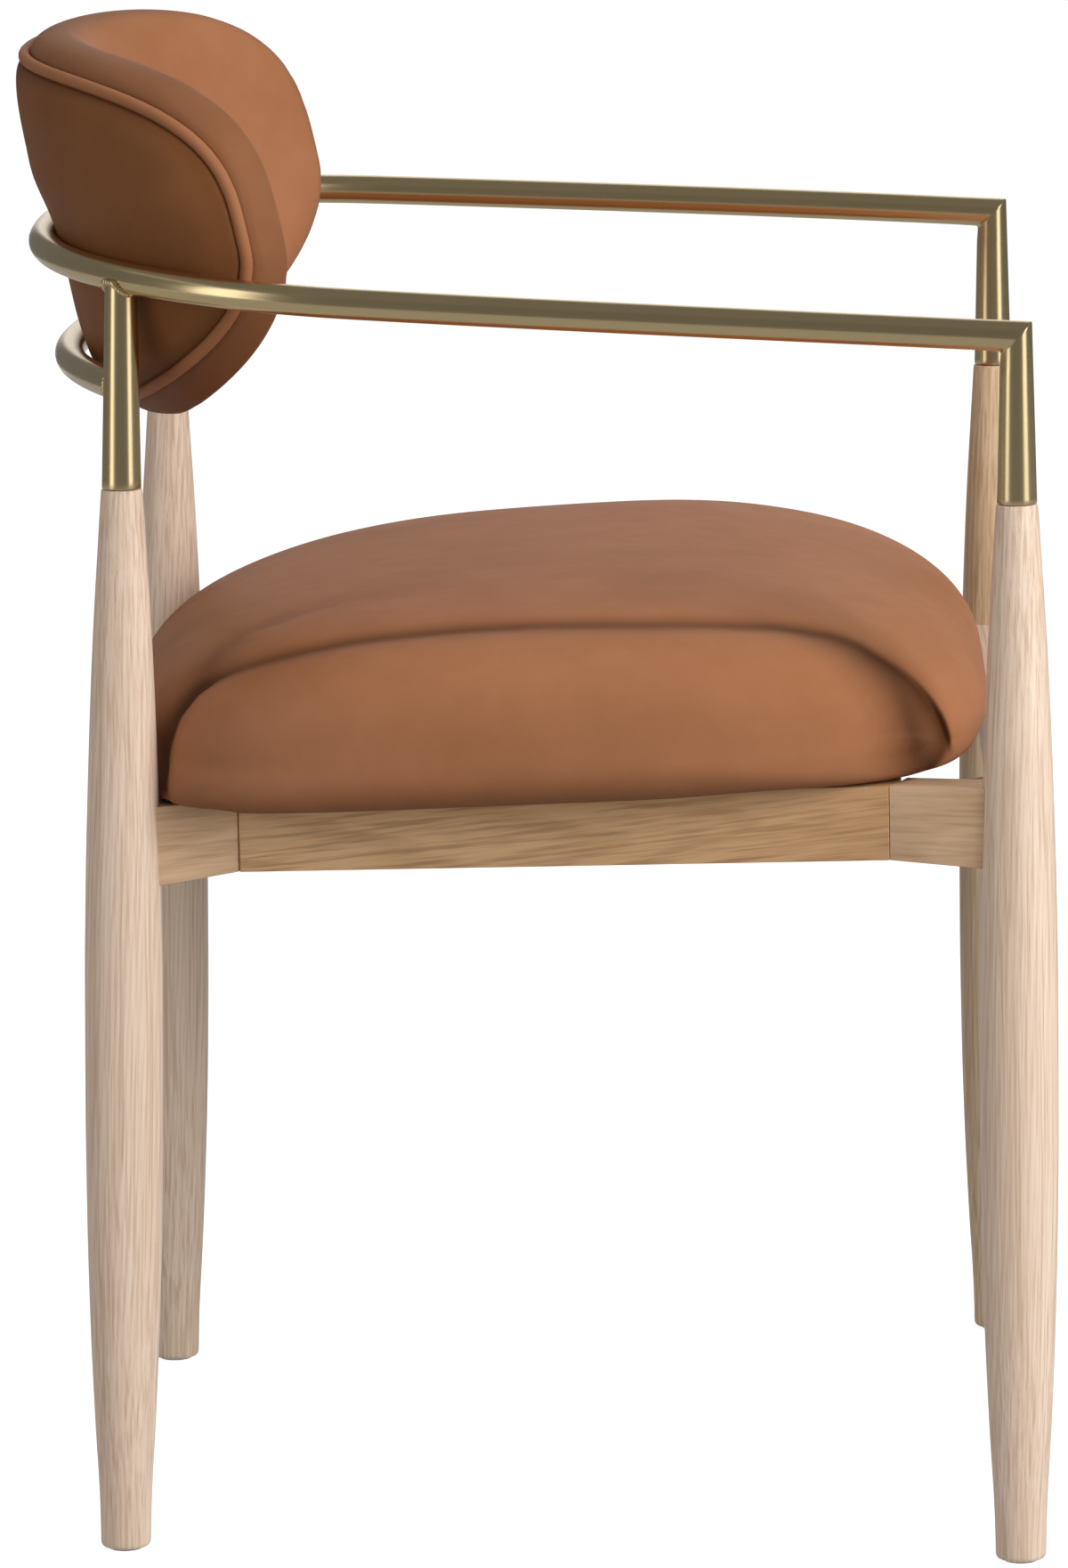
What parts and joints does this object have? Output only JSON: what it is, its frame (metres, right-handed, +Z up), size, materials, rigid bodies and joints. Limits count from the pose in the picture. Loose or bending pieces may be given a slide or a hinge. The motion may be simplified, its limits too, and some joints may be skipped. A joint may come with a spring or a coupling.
{
  "type": "dining armchair",
  "caption": "Dining armchair with tapered turned ash legs, a bent brass-finish arm tube on metal posts, a leather wrap-around back and a domed leather seat.",
  "frame": {"origin": "on the floor, in the middle of the whole chair's box", "axes": "+X to the front of the chair, +Y to the sitter's left, +Z up"},
  "size_m": [0.5454, 0.556, 0.778],
  "materials": {
    "ash": "matt lacquered ash, long grain along the leg",
    "ash_frame": "matt lacquered ash, grain along each rail",
    "brass": "satin champagne-brass finish on steel tube",
    "leather": "matt fine-grained tan leather",
    "plywood": "bare plywood",
    "steel": "zinc-plated steel",
    "nylon": "dark nylon",
    "black_cloth": "thin black non-woven cloth"
  },
  "bodies": {
    "root": {"front_right_leg": "ash", "front_right_stud": "steel", "front_right_glide": "nylon", "front_right_block": "ash_frame", "front_right_brace": "ash_frame", "front_right_seat_screw": "steel", "front_right_side_dowel": "ash_frame", "front_right_cross_dowel": "ash_frame", "front_left_leg": "ash", "front_left_stud": "steel", "front_left_glide": "nylon", "front_left_block": "ash_frame", "front_left_brace": "ash_frame", "front_left_seat_screw": "steel", "front_left_side_dowel": "ash_frame", "front_left_cross_dowel": "ash_frame", "rear_right_leg": "ash", "rear_right_stud": "steel", "rear_right_glide": "nylon", "rear_right_block": "ash_frame", "rear_right_brace": "ash_frame", "rear_right_seat_screw": "steel", "rear_right_side_dowel": "ash_frame", "rear_right_cross_dowel": "ash_frame", "rear_left_leg": "ash", "rear_left_stud": "steel", "rear_left_glide": "nylon", "rear_left_block": "ash_frame", "rear_left_brace": "ash_frame", "rear_left_seat_screw": "steel", "rear_left_side_dowel": "ash_frame", "rear_left_cross_dowel": "ash_frame", "front_right_post": "brass", "rear_right_post": "brass", "right_side_rail": "ash_frame", "front_left_post": "brass", "rear_left_post": "brass", "left_side_rail": "ash_frame", "front_rail": "ash_frame", "rear_rail": "ash_frame", "arm_loop": "brass", "lower_hoop": "brass", "seat_board": "plywood", "dust_cover": "black_cloth", "seat_cushion": "leather", "backrest_shell": "plywood", "backrest_rear_panel": "leather", "backrest_front_pad": "leather", "backrest_piping": "leather", "backrest_screw_upper_right": "steel", "backrest_screw_upper_left": "steel", "backrest_screw_lower_right": "steel", "backrest_screw_lower_left": "steel"}
  },
  "joints": []
}
